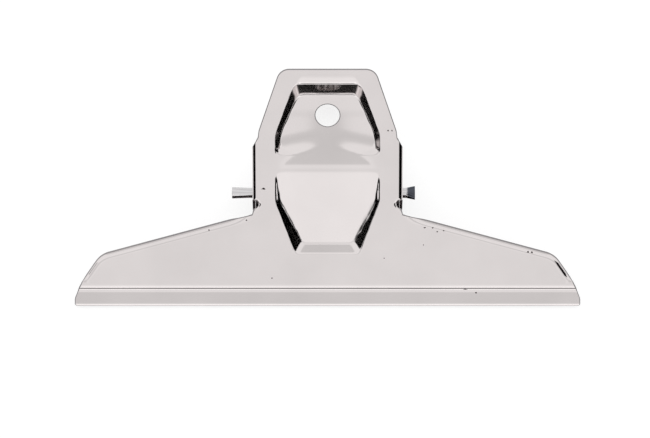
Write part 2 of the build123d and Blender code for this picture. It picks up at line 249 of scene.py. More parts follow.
# Spots on the front plate where the plating has come off: x, u, length and width
CHIPS = [
    (-18.2, 3.1, 1.1, 0.55),
    (17.1, 20.0, 0.45, 0.45),
    (18.2, 20.0, 0.4, 0.45),
    (-23.1, -6.1, 0.45, 0.4),
    (-33.8, -9.05, 0.45, 0.4),
    (-15.9, -23.2, 0.35, 0.45),
    (27.7, -8.3, 0.7, 0.35),
    (30.0, -8.35, 0.5, 0.4),
    (31.3, -9.5, 0.45, 0.4),
    (33.1, -9.2, 0.5, 0.35),
    (27.4, -13.4, 0.35, 0.3),
    (16.2, -17.3, 0.35, 0.3),
    (57.3, -15.5, 0.6, 0.5),
    (58.4, -15.65, 0.6, 0.5),
    (39.5, -26.6, 1.2, 0.25),
    (42.6, -27.6, 0.5, 0.5),
]

# Lie of the clip on the floor, on the rear lip's foot and the rear handle's tip
TIP_ALONG = HANDLE_REACH * cos(LEAN) - FACE_OUT * sin(LEAN)
TIP_OUT = HANDLE_REACH * sin(LEAN) + FACE_OUT * cos(LEAN)
LIE = atan2(TIP_OUT - LIP_FACE, PIN_HEIGHT + TIP_ALONG)


# The form of the sheet, as a height over the flat plate


def ramp(t, soft):
    """Zero before t = 0 and t after it, rounded over a distance each side."""
    return np.where(t > soft, t, np.where(t < -soft, 0, (t + soft) ** 2 / (4 * soft)))


def soft_min(a, b, soft):
    """The lesser of two values, rounded where they are alike."""
    return a - ramp(a - b, soft)


def soft_max(a, b, soft):
    """The greater of two values, rounded where they are alike."""
    return b + ramp(a - b, soft)


def smooth(t, low, high):
    """Zero at low, one at high and smooth between them."""
    t = np.clip((t - low) / (high - low), 0, 1)
    return t * t * (3 - 2 * t)


def unit(v):
    """Vectors made one long."""
    return v / np.linalg.norm(v, axis=-1, keepdims=True)


def to_right(v):
    """A direction on the plate, turned to its right."""
    return np.array((v[1], -v[0]))


def right_of(x, u, start, end):
    """Distance to the right of the line from start to end."""
    run, rise = end[0] - start[0], end[1] - start[1]
    return ((x - start[0]) * rise - (u - start[1]) * run) / hypot(run, rise)


def on_plate(along, out):
    """A point of the clip's side view, along from the pin and out from the middle, as (u, h) on a plate."""
    return along * cos(LEAN) + out * sin(LEAN), out * cos(LEAN) - along * sin(LEAN) - FACE_OUT


STEP_TOP = on_plate(STEP_HEIGHT - PIN_HEIGHT, STEP_FACE)
STEP_FOOT = on_plate(LIP_HEIGHT - PIN_HEIGHT, LIP_FACE)
LIP_MIDDLE = on_plate(LIP_HEIGHT / 2 - PIN_HEIGHT, LIP_FACE)
LIP_FOOT = on_plate(-PIN_HEIGHT, LIP_FACE)

WING_FALL = unit(WING_TIP - WING_ROOT)
WING_END = unit(WING_HEEL - WING_TIP)
WING_TURN = acos(WING_FALL @ WING_END)
CORNER_REACH = WING_CORNER * tan(WING_TURN / 2)
CORNER_CENTRE = WING_TIP - WING_FALL * CORNER_REACH + to_right(WING_FALL) * WING_CORNER


def uneven(first, second):
    """Slight wave of a pressed wall, from the phases of a stronger and a weaker part."""
    return WOBBLE * (np.sin(first) + np.sin(second) / 2)


def recess_wall(x, u, beside=0):
    """Depth of the recess's walls if they had no rounding, with the side walls eased beside the ridge."""
    far = np.abs(x)
    upper = smooth(u, EASE_LOW, EASE_HIGH)
    steep = tan(LOWER_WALL) + (tan(SIDE_WALL) - tan(LOWER_WALL)) * upper
    upper_slant = right_of(far, u, RECESS_TOP, RECESS_UPPER)
    lower_slant = right_of(far, u, RECESS_LOWER, RECESS_FOOT)
    side = soft_min(soft_min(upper_slant, lower_slant, SLANT_SOFT), RECESS_LOWER[0] - far, UPRIGHT_SOFT)
    side = (side + uneven(1.3 * u + x / 9, 2.9 * u - x / 5)) * steep * (1 - RIDGE_EASE * beside)
    top = TOP_UP - u + uneven(1.1 * x + 1, 2.7 * x)
    top = soft_max(TOP_LEAD_SLOPE * (top + TOP_LEAD), tan(TOP_WALL) * top, CREASE)
    foot = (u - RECESS_FOOT[1]) * tan(FOOT_WALL)
    corner = LOWER_CORNER + (RECESS_CORNER - LOWER_CORNER) * upper
    return soft_min(side, np.minimum(top, foot), corner)


def recess_floor(x, u):
    """Depth of two floors, with a ridge between them and its tongue up to the hang hole."""
    plane = UPPER_DEPTH + UPPER_FALL * (u - UPPER_UP)
    pocket_up = POCKET_UP - POCKET_SPREAD * (np.abs(x) - RECESS_LOWER[0] / 2)
    pocket = plane - POCKET_CURVE * ramp(pocket_up - u, POCKET_SOFT) ** 2
    dome = soft_min(DOME_FALL * (u - RIDGE_UP), plane, CREASE)
    ridge = soft_max(dome, LOWER_FALL * (RIDGE_UP - u), RIDGE_SOFT)
    return ridge + ramp(pocket - ridge, CREASE) * (1 - np.exp(-((x / TONGUE_WIDTH) ** 2)))


def recess_depth(x, u):
    """Depth of the recess, with its walls rolled over at the edge and run into the floors."""
    foot = RECESS_FOOT[1]
    beside = smooth(u, EASE_LOW - EASE_LENGTH, EASE_LOW) * smooth(u, EASE_HIGH + EASE_LENGTH, EASE_HIGH)
    roll = FOOT_ROLL + (RECESS_ROLL - FOOT_ROLL) * smooth(u, foot, foot + FOOT_ROLL_RISE)
    wall = ramp(recess_wall(x, u, beside), roll)
    floor = recess_floor(x, u)
    soft = FOOT_SOFT + (FLOOR_SOFT - FOOT_SOFT) * smooth(u, foot + FOOT_SOFT_LOW, foot + FOOT_SOFT_HIGH)
    return soft_min(floor, wall, np.clip(FLOOR_BLEND * floor, LEAST_SOFT, soft))


def lip_height(u):
    """Height of the step and of the gripping band below it, which lies flat against the other plate's."""
    step = -STEP_FOOT[1] / (STEP_TOP[0] - STEP_FOOT[0])
    return (step + tan(LEAN)) * ramp(STEP_FOOT[0] - u, STEP_SOFT) - step * ramp(STEP_TOP[0] - u, STEP_SOFT)


def lip_bevel(u):
    """Drop of the outer face along the lip's foot."""
    return LIP_BEVEL_SLOPE * ramp(LIP_FOOT[0] + LIP_BEVEL - u, LIP_BEVEL_SOFT)


def wing_inside(x, u):
    """Distance in from the wing's top edge, its rounded corner and its end."""
    dx, du = x - CORNER_CENTRE[0], u - CORNER_CENTRE[1]
    turning = (dx * WING_FALL[0] + du * WING_FALL[1] > 0) & (dx * WING_END[0] + du * WING_END[1] < 0)
    straight = np.minimum(right_of(x, u, WING_ROOT, WING_TIP), right_of(x, u, WING_TIP, WING_HEEL))
    return np.where(turning, WING_CORNER - np.hypot(dx, du), straight)


def rim_weight(x, u):
    """How far the wing's edge is turned back: not at the neck, and not below the heel."""
    return smooth(x, RIM_START, RIM_START + RIM_RUNOUT) * smooth(u, RIM_FOOT, RIM_FULL)


def turned_back(inside, bend):
    """Drop of an edge that is bent back, by the distance in from it."""
    past = np.clip(bend - inside, 0, bend * NEARLY)
    return bend - np.sqrt(bend**2 - past**2)


def notch_weight(x, u, ear_half):
    """How far the edge is turned back at the ear's foot: round the notch, and not along the wing."""
    above = smooth(u, NOTCH_UP - NOTCH_END_DOWN, NOTCH_UP - NOTCH_FULL_DOWN)
    return above * smooth(x, ear_half - NOTCH_END_IN, ear_half - NOTCH_FULL_IN)


def notch_drop(x, u, ear_half):
    """Drop of the turned-back edge round the notch, where x goes on round the ear's bend."""
    middle = ear_half - NOTCH_IN
    inside = np.where(x < middle, np.hypot(x - middle, u - NOTCH_UP), u - NOTCH_UP) - NOTCH_RADIUS
    inside = np.where((x > middle) & (u < NOTCH_UP), NOTCH_BEND, inside)
    return notch_weight(x, u, ear_half) * turned_back(inside, NOTCH_BEND)


def height(x, u, ear_half):
    """Height of the formed sheet's outer face over the flat plate."""
    far = np.abs(x)
    rim = rim_weight(far, u) * turned_back(wing_inside(far, u), RIM_BEND)
    return lip_height(u) - lip_bevel(u) - recess_depth(x, u) - rim - notch_drop(far, u, ear_half)


# The ear's bend


def ear_turn(past):
    """Angle turned back, by the distance round the ear's bend."""
    tight = np.clip((past - EAR_ROLL * EAR_TURN) / EAR_HEEL, 0, pi / 2 - EAR_TURN)
    return np.minimum(past / EAR_ROLL, EAR_TURN) + tight


def ear_across(angle):
    """How far the bend has gone across, by the angle turned back."""
    wide = EAR_ROLL * np.sin(np.minimum(angle, EAR_TURN))
    return wide + EAR_HEEL * (np.sin(np.maximum(angle, EAR_TURN)) - sin(EAR_TURN))


def ear_back(angle):
    """How far the bend has gone back, by the angle turned back."""
    wide = EAR_ROLL * (1 - np.cos(np.minimum(angle, EAR_TURN)))
    return wide + EAR_HEEL * (cos(EAR_TURN) - np.cos(np.maximum(angle, EAR_TURN)))


def ear_top(past):
    """Upper edge of the ear's bend, by the distance round the bend."""
    across = ear_across(ear_turn(past)) + SHOULDER_IN - EAR_BEND
    return SHOULDER_UP - SHOULDER_SLOPE * across - EDGE_ROUND * hypot(1, SHOULDER_SLOPE)


def ear_foot(past):
    """Lower edge of the ear's bend, by the distance round the bend."""
    weight = smooth(past, EAR_BEND - NOTCH_END_IN, EAR_BEND - NOTCH_FULL_IN)
    reach = NOTCH_RADIUS + np.maximum(EDGE_ROUND * (1 - weight), NOTCH_BEND * THIN)
    short = np.maximum(EAR_BEND - NOTCH_IN - past, 0)
    return NOTCH_UP + np.sqrt(reach**2 - short**2)


def ear_rows():
    """Heights of the points down the start of the bend, closer together near its foot."""
    return ear_foot(0) + (ear_top(0) - ear_foot(0)) * np.linspace(1, 0, EAR_ROWS) ** 2


def bent(flat, ear_half):
    """Points of the right ear's outer face, by the distance round its bend and the height along it."""
    past, u = flat[:, 0], flat[:, 1]
    angle = ear_turn(past)
    beyond = np.maximum(past - EAR_LENGTH, 0)
    corner = np.column_stack((ear_half - EAR_BEND + ear_across(angle), u, -ear_back(angle) - beyond))
    out = np.column_stack((np.sin(angle), 0 * angle, np.cos(angle)))
    return corner - out * np.reshape(notch_drop(ear_half - EAR_BEND + past, u, ear_half), (-1, 1))


# Outlines on the plate


def whole_turn(count):
    """Evenly spaced angles round a circle."""
    return np.arange(count) * 2 * pi / count


def arc(turn, radius, centre):
    """Points of a circle at some angles, or of an oval with a pair of radii."""
    return np.column_stack((np.cos(turn), np.sin(turn))) * radius + centre


def turned(arm, angle):
    """A direction on the plate, turned to its left by an angle."""
    return np.array((arm[0] * cos(angle) - arm[1] * sin(angle), arm[0] * sin(angle) + arm[1] * cos(angle)))


def rounded(corners):
    """Points of a line whose corners (x, u, radius) are rounded."""
    corners = [np.array(c, float) for c in corners]
    points = [corners[0][:2]]
    for before, corner, after in zip(corners, corners[1:], corners[2:]):
        into, away = unit(corner[:2] - before[:2]), unit(after[:2] - corner[:2])
        turn = acos(np.clip(into @ away, -1, 1))
        steps = max(1, round(turn / ARC_STEP))
        start = corner[:2] - into * corner[2] * tan(turn / 2)
        left = 1 if into[0] * away[1] - into[1] * away[0] > 0 else -1
        centre = start - left * corner[2] * to_right(into)
        points += [centre + turned(start - centre, left * turn * i / steps) for i in range(steps + 1)]
    return np.array(points + [corners[-1][:2]])


def spaced(points, step):
    """The same line with no more than a step between its points."""
    out = [points[0]]
    for a, b in zip(points, points[1:]):
        n = max(1, int(np.ceil(np.linalg.norm(b - a) / step)))
        out += [a + (b - a) * i / n for i in range(1, n + 1)]
    return np.array(out)


def drawn_in(points, by):
    """A line moved to its right."""
    run = unit(np.gradient(points, axis=0))
    return points + np.column_stack((run[:, 1], -run[:, 0])) * np.reshape(by, (-1, 1))


def handle_line(ear_half):
    """From the middle of the handle's top to the ear's bend."""
    line = rounded([
        (0, HANDLE_TOP, 0),
        (HANDLE_TOP_HALF, HANDLE_TOP, HANDLE_CORNER),
        (ear_half - WAIST_IN, WAIST_UP, WAIST_CORNER),
        (ear_half - SHOULDER_IN, SHOULDER_UP, SHOULDER_CORNER),
        (ear_half - EAR_BEND, SHOULDER_UP - (SHOULDER_IN - EAR_BEND) * SHOULDER_SLOPE, 0),
    ])
    line = drawn_in(spaced(line, OUTLINE_STEP), EDGE_ROUND)
    line[0, 0] = 0
    return line[:-1]


def notch_line(ear_half):
    """Round the notch under the ear, from the ear's bend to the wing."""
    turn = np.linspace(pi - acos((EAR_BEND - NOTCH_IN) / NOTCH_RADIUS), 3 * pi / 2, NOTCH_ROWS)
    line = arc(turn, NOTCH_RADIUS, (ear_half - NOTCH_IN, NOTCH_UP))
    by = EDGE_ROUND * (1 - notch_weight(line[:, 0], line[:, 1], ear_half))
    return drawn_in(line, np.maximum(by, NOTCH_BEND * THIN))[1:]


def wing_edge(inside):
    """Line along the wing's top edge, its corner and its end, a distance in from them."""
    arm = -to_right(WING_FALL) * (WING_CORNER - inside)
    start = WING_ROOT + to_right(WING_FALL) * inside
    end = WING_HEEL + to_right(WING_END) * inside
    corner = [CORNER_CENTRE + turned(arm, -WING_TURN * i / CORNER_STEPS) for i in range(CORNER_STEPS + 1)]
    return spaced(np.array([start] + corner + [end]), OUTLINE_STEP)


def wing_line():
    """From the ear along the wing's edge and the lip's end to the middle of the lip's foot."""
    lip = rounded([
        (*WING_HEEL, 0),
        (JAW_HALF - LIP_TAPER, STEP_FOOT[0], LIP_TOP_CORNER),
        (JAW_HALF, LIP_MIDDLE[0], LIP_END_CORNER),
        (JAW_HALF, LIP_FOOT[0], LIP_CORNER),
        (0, LIP_FOOT[0], 0),
    ])
    line = np.vstack((wing_edge(0), spaced(lip, LIP_STEP)[1:]))
    above_foot = line[:, 1] > LIP_FOOT[0] + OFF_FOOT
    line = line[above_foot | (np.arange(len(line)) % LIP_SKIP == 0) | (line[:, 0] == 0)]
    by = EDGE_ROUND * (1 - rim_weight(line[:, 0], line[:, 1]))
    line = drawn_in(line, np.maximum(by, RIM_BEND * THIN))
    line[-1, 0] = 0
    return line


def hang_hole(front):
    """The hang hole, higher and wider in the rear plate so that the front one is seen to go right through."""
    more = EDGE_ROUND if front else EDGE_ROUND + REAR_HOLE_MORE
    centre = (0, HOLE_UP if front else REAR_HOLE_UP)
    return arc(whole_turn(HOLE_SIDES), (HOLE_ACROSS + more, HOLE_ALONG + more), centre)


def chip_loop(x, u, long, wide):
    """Ragged outline of a spot where the plating has come off."""
    turn = whole_turn(CHIP_SIDES)
    ragged = 1 + 0.3 * np.sin(3.1 * turn + 5 * x) + 0.2 * np.sin(5 * turn + 3 * u)
    return np.column_stack((x + long / 2 * ragged * np.cos(turn), u + wide / 2 * ragged * np.sin(turn)))


# Lines along which the sheet bends


def rim_lines():
    """Along the wing's rim, on the right."""
    lines = []
    for angle in RIM_ANGLES:
        line = wing_edge(RIM_BEND * (1 - sin(radians(angle))))
        x, u = line[:, 0], line[:, 1]
        spare = wing_inside(x, u) - EDGE_ROUND * (1 - rim_weight(x, u))
        lines.append(line[(spare > OFF_EDGE) & (u > WING_HEEL[1] + OFF_HEEL)])
    return [line for line in lines if len(line) > 1]


def notch_lines(ear_half):
    """Round the notch, on the right."""
    lines = []
    for angle in (0, *NOTCH_ANGLES):
        reach = NOTCH_RADIUS + NOTCH_BEND * (1 - sin(radians(angle)))
        start = pi - acos((EAR_BEND - NOTCH_IN + OFF_BEND) / reach)
        turn = np.linspace(start, 3 * pi / 2 - OFF_WING, NOTCH_LINE_ROWS)
        lines.append(arc(turn, reach, (ear_half - NOTCH_IN, NOTCH_UP)))
    return lines


def lip_lines(wing):
    """Across the whole jaw, along the step and the bevel."""
    ups = [STEP_TOP[0] + STEP_SOFT * k for k in (1.2, 0.6, 0, -0.6, -1.1)]
    ups += [STEP_FOOT[0] + STEP_SOFT * k for k in (1, 0.5, 0, -0.5, -1.1)]
    ups += [LIP_FOOT[0] + LIP_BEVEL * k for k in (1.25, 1, 0.75)]
    low = wing[wing[:, 1] < WING_HEEL[1]]
    lines = []
    for u in ups:
        reach = np.interp(-u, -low[:, 1], low[:, 0]) - OFF_LIP_END
        lines.append(np.column_stack((np.linspace(-reach, reach, LIP_ROWS), np.full(LIP_ROWS, u))))
    return lines


def recess_lines():
    """Round the recess's walls. Those outside the walls' roll are kept below the upright sides only."""
    turn = np.linspace(0, 2 * pi, WALL_SIDES + 1)
    lines = []
    for depth in WALL_DEPTHS:
        near, beyond = np.zeros(len(turn)), np.full(len(turn), WALL_REACH)
        for halving in range(WALL_HALVINGS):
            reach = (near + beyond) / 2
            inside = recess_wall(reach * np.cos(turn), RIDGE_UP + reach * np.sin(turn)) > depth
            near, beyond = np.where(inside, reach, near), np.where(inside, beyond, reach)
        line = np.column_stack((near * np.cos(turn), RIDGE_UP + near * np.sin(turn)))
        lines.append(line if depth >= -RECESS_ROLL else line[line[:, 1] < RECESS_LOWER[1]])
    return lines


# Flat layouts of points and triangles


def inside_loop(points, loop):
    """Which points lie inside a closed line."""
    inside = np.zeros(len(points), bool)
    for a, b in zip(loop, np.roll(loop, -1, axis=0)):
        crosses = (a[1] > points[:, 1]) != (b[1] > points[:, 1])
        rise = b[1] - a[1] or 1  # nothing crosses a level line
        reach = a[0] + (points[:, 1] - a[1]) * (b[0] - a[0]) / rise
        inside ^= crosses & (points[:, 0] < reach)
    return inside


def triangles(loops, lines, dots, holes):
    """Points and triangles inside the first loop, along every loop and line, but not in the holes."""
    points, edges = [], []
    for path, closed in [(p, True) for p in loops + holes] + [(p, False) for p in lines]:
        first = len(points)
        points += [Vector(p) for p in path]
        edges += [(first + i, first + i + 1) for i in range(len(path) - 1)]
        edges += [(first + len(path) - 1, first)] if closed else []
    points += [Vector(p) for p in dots]
    inside_only, same_point = 1, 1e-5
    found = delaunay_2d_cdt(points, edges, [], inside_only, same_point)
    flat = np.array([tuple(p) for p in found[0]])
    faces = np.array(found[2])
    middle = flat[faces].mean(axis=1)
    keep = np.ones(len(faces), bool)
    for hole in holes:
        keep &= ~inside_loop(middle, hole)
    return flat, faces[keep]


def hex_dots(low, high, step):
    """Points of a triangular grid in a box."""
    rows = np.arange(low[1], high[1], step * sqrt(0.75))
    return np.array([
        (x + (i % 2) * step / 2, u) for i, u in enumerate(rows) for x in np.arange(low[0], high[0], step)
    ])


def far_from(dots, line, distance):
    """The dots that keep a distance from a line's points."""
    gap = np.min(np.hypot(dots[:, None, 0] - line[None, :, 0], dots[:, None, 1] - line[None, :, 1]), axis=1)
    return dots[gap > distance]


def grid_dots(loop, hole, walls):
    """Points between the lines: close in the recess, less so round it, and far apart on the wings."""
    fine = hex_dots(*RECESS_GRID)
    fine = far_from(fine[recess_wall(fine[:, 0], fine[:, 1]) > 0], hole, OFF_HOLE)
    fine = far_from(fine, walls, OFF_WALL)
    coarse = hex_dots(*WING_GRID)
    coarse = coarse[inside_loop(coarse, loop) & (np.abs(coarse[:, 0]) > MIDDLE_GRID[1][0])]
    coarse = coarse[wing_inside(np.abs(coarse[:, 0]), coarse[:, 1]) > RIM_BEND + OFF_RIM]
    border = hex_dots(*MIDDLE_GRID)
    border = border[inside_loop(border, loop) & (recess_wall(border[:, 0], border[:, 1]) < -OFF_RECESS)]
    border = far_from(border, walls, OFF_RECESS)
    return np.vstack((fine, far_from(np.vstack((coarse, border)), loop, OFF_OUTLINE)))


def main_face(ear_half, hole, chips):
    """Flat points and triangles of the whole plate but its ears, with the outlines of chips drawn in."""
    ear = np.column_stack((np.full(EAR_ROWS, ear_half - EAR_BEND), ear_rows()))
    wing = wing_line()
    half = np.vstack((handle_line(ear_half), ear, notch_line(ear_half), wing))
    loop = np.vstack((half, (half * (-1, 1))[-2:0:-1]))
    walls = recess_lines()
    lines = []
    for line in rim_lines() + notch_lines(ear_half):
        lines += [line, line * (-1, 1)]
    dots = grid_dots(loop, hole, np.vstack(walls))
    for chip in chips:
        dots = far_from(dots, chip, OFF_CHIP)
    return triangles([loop] + chips, lines + lip_lines(wing) + walls, dots, [hole])


def ear_face():
    """Flat points and triangles of an ear, by distance round its bend and height."""
    lobe = EAR_RADIUS - EDGE_ROUND
    depth = FACE_OUT - EAR_BACK  # from the bend to the pin's axis
    top = np.array((ear_top(EAR_LENGTH), depth))
    foot = np.array((ear_foot(EAR_LENGTH), depth))
    start = atan2(top[1], top[0]) - acos(lobe / hypot(*top))
    end = atan2(foot[1], foot[0]) + acos(lobe / hypot(*foot)) - 2 * pi
    round_pin = arc(np.linspace(start, end, LOBE_ROWS), lobe, (0, 0))
    flange = spaced(np.vstack((top, round_pin, foot)), FLANGE_STEP)
    flange = np.column_stack((EAR_LENGTH + depth - flange[:, 1], flange[:, 0]))
    bends = np.linspace(0, EAR_LENGTH, BEND_ROWS)
    upper = np.column_stack((bends, ear_top(bends)))
    lower = np.column_stack((bends, ear_foot(bends)))[::-1]
    border = np.column_stack((np.zeros(EAR_ROWS), ear_rows()))[::-1]
    loop = np.vstack((upper, flange[1:-1], lower, border[:-1]))
    rows = []
    for past in bends[1:]:
        ups = np.linspace(ear_foot(past) + NOTCH_BEND + OFF_NOTCH, ear_top(past) - OFF_EAR_TOP, FLANGE_ROWS)
        rows.append(np.column_stack((np.full(FLANGE_ROWS, past), ups)))
    for angle in NOTCH_ANGLES:
        inside = NOTCH_BEND * (1 - sin(radians(angle)))
        rows.append(np.column_stack((bends[1:-1], ear_foot(bends[1:-1]) + inside)))
    hole = arc(whole_turn(PIN_HOLE_SIDES), PIN_HOLE + EDGE_ROUND, (EAR_LENGTH + depth, 0))
    return triangles([loop], rows, [], [hole])


# Meshes


def mesh_object(name, verts, polygons):
    """A mesh from points in millimetres and polygons with a normal at each corner."""
    mesh = bpy.data.meshes.new(name)
    mesh.from_pydata([tuple(v) for v in verts * MM], [], [[int(i) for i in p[0]] for p in polygons])
    mesh.polygons.foreach_set("use_smooth", [True] * len(mesh.polygons))
    mesh.normals_split_custom_set([tuple(n) for p in polygons for n in p[1]])
    piece = bpy.data.objects.new(name, mesh)
    bpy.context.collection.objects.link(piece)
    return piece


def shaped(flat, place):
    """Points of a surface over flat points, and its normals."""
    tiny = 1e-4
    across = place(flat + (tiny, 0)) - place(flat - (tiny, 0))
    along = place(flat + (0, tiny)) - place(flat - (0, tiny))
    return place(flat), unit(np.cross(across, along))


def welded(parts):
    """One surface from several, with points in the same place made one."""
    points, normals, faces, index = [], [], [], {}
    for part_points, part_normals, part_faces in parts:
        ids = []
        for p, n in zip(part_points, part_normals):
            key = tuple(np.round(p, 3))
            if key not in index:
                index[key] = len(points)
                points.append(p)
                normals.append(n)
            ids.append(index[key])
        faces += [[ids[i] for i in face] for face in part_faces]
    return np.array(points), np.array(normals), faces


def open_edges(faces):
    """Closed chains of points round the open edges of a surface, with the surface on their left."""
    edges = {}
    for face in faces:
        for a, b in zip(face, np.roll(face, -1)):
            edges[(int(a), int(b))] = True
    follow = {a: b for a, b in edges if (b, a) not in edges}
    chains = []
    while follow:
        chain = [next(iter(follow))]
        while chain[-1] in follow:
            chain.append(follow.pop(chain[-1]))
        chains.append(chain[:-1])
    return chains


def sheet_metal(name, points, normals, faces, thick, finish):
    """A sheet under a surface, with a drawn-in outer edge and a square inner one, both painted dark: a
    painted dark reflection, on plating taken as worn.

    The finish numbers the materials of the surface's first faces.
    """
    count = len(points)
    verts = [points, points - thick * normals]
    polygons = [(list(f), normals[list(f)]) for f in faces]
    polygons += [([i + count for i in f[::-1]], -normals[list(f[::-1])]) for f in faces]
    size = 2 * count
    for chain in open_edges(faces):
        p, n = points[chain], normals[chain]
        along = unit(np.roll(p, -1, axis=0) - np.roll(p, 1, axis=0))
        out = unit(np.cross(along, n))
        rows, facing = [np.array(chain)], [n]
        for angle in (radians(a) for a in STAMPED_ANGLES):
            verts.append(p + EDGE_ROUND * (out * sin(angle) - n * (1 - cos(angle))))
            rows.append(np.arange(len(p)) + size)
            facing.append(n * cos(angle) + out * sin(angle))
            size += len(p)
        verts.append(p + EDGE_ROUND * out - thick[chain] * n)
        # The square inner edge is in two rows, one facing out and one back, with no strip between them
        square = len(rows)
        rows += [np.arange(len(p)) + size, np.arange(len(p)) + size, np.array(chain) + count]
        facing += [out, -n, -n]
        size += len(p)
        for k in (*range(square), square + 1):
            for i in range(len(p)):
                j = (i + 1) % len(p)
                polygons.append((
                    [rows[k][j], rows[k][i], rows[k + 1][i], rows[k + 1][j]],
                    [facing[k][j], facing[k][i], facing[k + 1][i], facing[k + 1][j]],
                ))
    piece = mesh_object(name, np.vstack(verts), polygons)
    plain = [PLATED] * (2 * len(faces) - len(finish))
    # every edge strip is painted dark, a painted dark reflection along the outline
    edges = [WORN_AND_SHADED] * (len(polygons) - 2 * len(faces))
    piece.data.polygons.foreach_set("material_index", [int(i) for i in finish] + plain + edges)
    return piece


def plating(middles, chips):
    """Materials of a main face's triangles, by their middles."""
    far, u = np.abs(middles[:, 0]), middles[:, 1]
    # the outer part of the rim's bend is painted dark, a painted dark reflection
    at_rim = (far > RIM_START) & (u > WING_HEEL[1]) & (wing_inside(far, u) < RIM_WORN_AND_SHADED)
    finish = np.where(at_rim, WORN_AND_SHADED, PLATED)
    for loop in chips:
        finish[inside_loop(middles, loop)] = CHIPPED
    return finish


def plate(name, front, ear_half, chips):
    """One half of the clip, in its place."""
    loops = [chip_loop(*chip) for chip in chips]
    flat, faces = main_face(ear_half, hang_hole(front), loops)
    finish = plating(flat[faces].mean(axis=1), loops)
    parts = [(*shaped(flat, lambda f: np.column_stack((f, height(f[:, 0], f[:, 1], ear_half)))), faces)]
    flat, faces = ear_face()
    points, normals = shaped(flat, lambda f: bent(f, ear_half))
    parts.append((points, normals, faces))
    parts.append((points * (-1, 1, 1), normals * (-1, 1, 1), faces[:, ::-1]))
    points, normals, faces = welded(parts)
    tilt = LIE + LEAN if front else LIE - LEAN
    side = 1 if front else -1
    axes = np.array(((side, 0, 0), (0, cos(tilt), sin(tilt)), (0, -side * sin(tilt), side * cos(tilt))))
    place = HINGE + (points + (0, 0, FACE_OUT)) @ axes
    thick = np.reshape(SHEET - LIP_THINNING * lip_bevel(points[:, 1]), (-1, 1))
    return sheet_metal(name, place, normals @ axes, faces, thick, finish)


def tube(name, route, radius, sides):
    """A round wire along a route, cut off square at its ends."""
    ahead = unit(np.gradient(route, axis=0))
    across = unit(np.cross(ahead[0], (1, 1, 0)))
    turn = whole_turn(sides)
    rings, facing = [], []
    for point, along in zip(route, ahead):
        across = unit(across - along * (across @ along))
        ring = np.outer(np.cos(turn), across) + np.outer(np.sin(turn), np.cross(along, across))
        facing.append(ring)
        rings.append(point + radius * ring)
    polygons = []
    for r in range(len(route) - 1):
        for i in range(sides):
            j = (i + 1) % sides
            corners = ((r, i), (r, j), (r + 1, j), (r + 1, i))
            polygons.append(([a * sides + b for a, b in corners], [facing[a][b] for a, b in corners]))
    last = (len(route) - 1) * sides
    polygons.append((list(range(sides))[::-1], [-ahead[0]] * sides))
    polygons.append((list(range(last, last + sides)), [ahead[-1]] * sides))
    return mesh_object(name, np.vstack(rings), polygons)


# The two plates

front_sheet = plate("front_sheet", True, EAR_HALF, CHIPS)
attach(front_sheet, "front_half")
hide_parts("front_plate")

rear_sheet = plate("rear_sheet", False, REAR_EAR_HALF, [])
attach(rear_sheet, "rear_half")
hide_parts("rear_plate")


# The spring: a foot behind each plate's ridge, a leg, and the coil round the pin

leg_angle = atan2(SEAT_OUT, SEAT_ALONG) + acos(COIL_RADIUS / hypot(SEAT_ALONG, SEAT_OUT))
coil_angle = 2 * pi * (COIL_TURNS + 1) - 2 * leg_angle
coil_half = COIL_PITCH * coil_angle / (4 * pi)


def leg_points(side):
    """From the tip of a foot to the coil, in the clip's own axes: across, along from the pin, out."""
    seat = np.array((side * coil_half, SEAT_ALONG, -side * SEAT_OUT))
    tip = seat - (side * FOOT_LENGTH, 0, 0)
    touch = np.array((side * coil_half, COIL_RADIUS * cos(leg_angle), -side * COIL_RADIUS * sin(leg_angle)))
    into, away = unit(seat - tip), unit(touch - seat)
    turn = np.linspace(0, pi / 2, FOOT_ROWS)[:, None]
    bend = seat + FOOT_BEND * (-into * (1 - np.sin(turn)) + away * (1 - np.cos(turn)))
    return spaced(np.vstack((tip, bend, touch)), WIRE_STEP)


step = np.linspace(0, 1, round(coil_angle / COIL_STEP))
angle = leg_angle + coil_angle * step
coil = np.column_stack((coil_half * (2 * step - 1), COIL_RADIUS * np.cos(angle), COIL_RADIUS * np.sin(angle)))
route = np.vstack((leg_points(-1)[:-1], coil, leg_points(1)[::-1][1:]))
clip_axes = np.array(((1, 0, 0), (0, cos(LIE), sin(LIE)), (0, -sin(LIE), cos(LIE))))
spring_wire = tube("spring_wire", HINGE + route @ clip_axes, WIRE / 2, WIRE_SIDES)
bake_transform(spring_wire)
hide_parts("torsion_spring")

hinge_pin = frame["nodes"]["hinge_pin"]


# Finishes

DARK_START = 22.5  # the pin's right end is painted dark from here, and fully so from DARK_END out: a painted dark reflection, on an end taken as unplated
DARK_END = 23.2


def join(tree, kind, inputs, out=0, **settings):
    """Output of a new shader node, whose inputs are set to values or joined to other nodes' outputs."""
    node = tree.nodes.new("ShaderNode" + kind)
    for name, value in settings.items():
        setattr(node, name, value)
    for name, value in inputs.items():
        if isinstance(value, bpy.types.NodeSocket):
            tree.links.new(value, node.inputs[name])
        else:
            node.inputs[name].default_value = value
    return node.outputs[out]


def between(tree, value, low, high):
    """Zero on the low side, one on the high side and smooth between them."""
    inputs = {"Value": value, "From Min": low, "From Max": high}
    return join(tree, "MapRange", inputs, interpolation_type="SMOOTHSTEP")


def reckoned(tree, operation, a, b):
    """Two values put together by a Math node."""
    return join(tree, "Math", {0: a, 1: b}, operation=operation)


def shades(tree, value, stops, interpolation="LINEAR"):
    """Colours by a value from 0 to 1."""
    node = tree.nodes.new("ShaderNodeValToRGB")
    node.color_ramp.interpolation = interpolation
    tree.links.new(value, node.inputs["Fac"])
    elements = node.color_ramp.elements
    elements.remove(elements[1])
    for i, (at, colour) in enumerate(stops):
        element = elements[0] if i == 0 else elements.new(at)
        element.position = at
        element.color = (*colour, 1)
    return node.outputs["Color"]


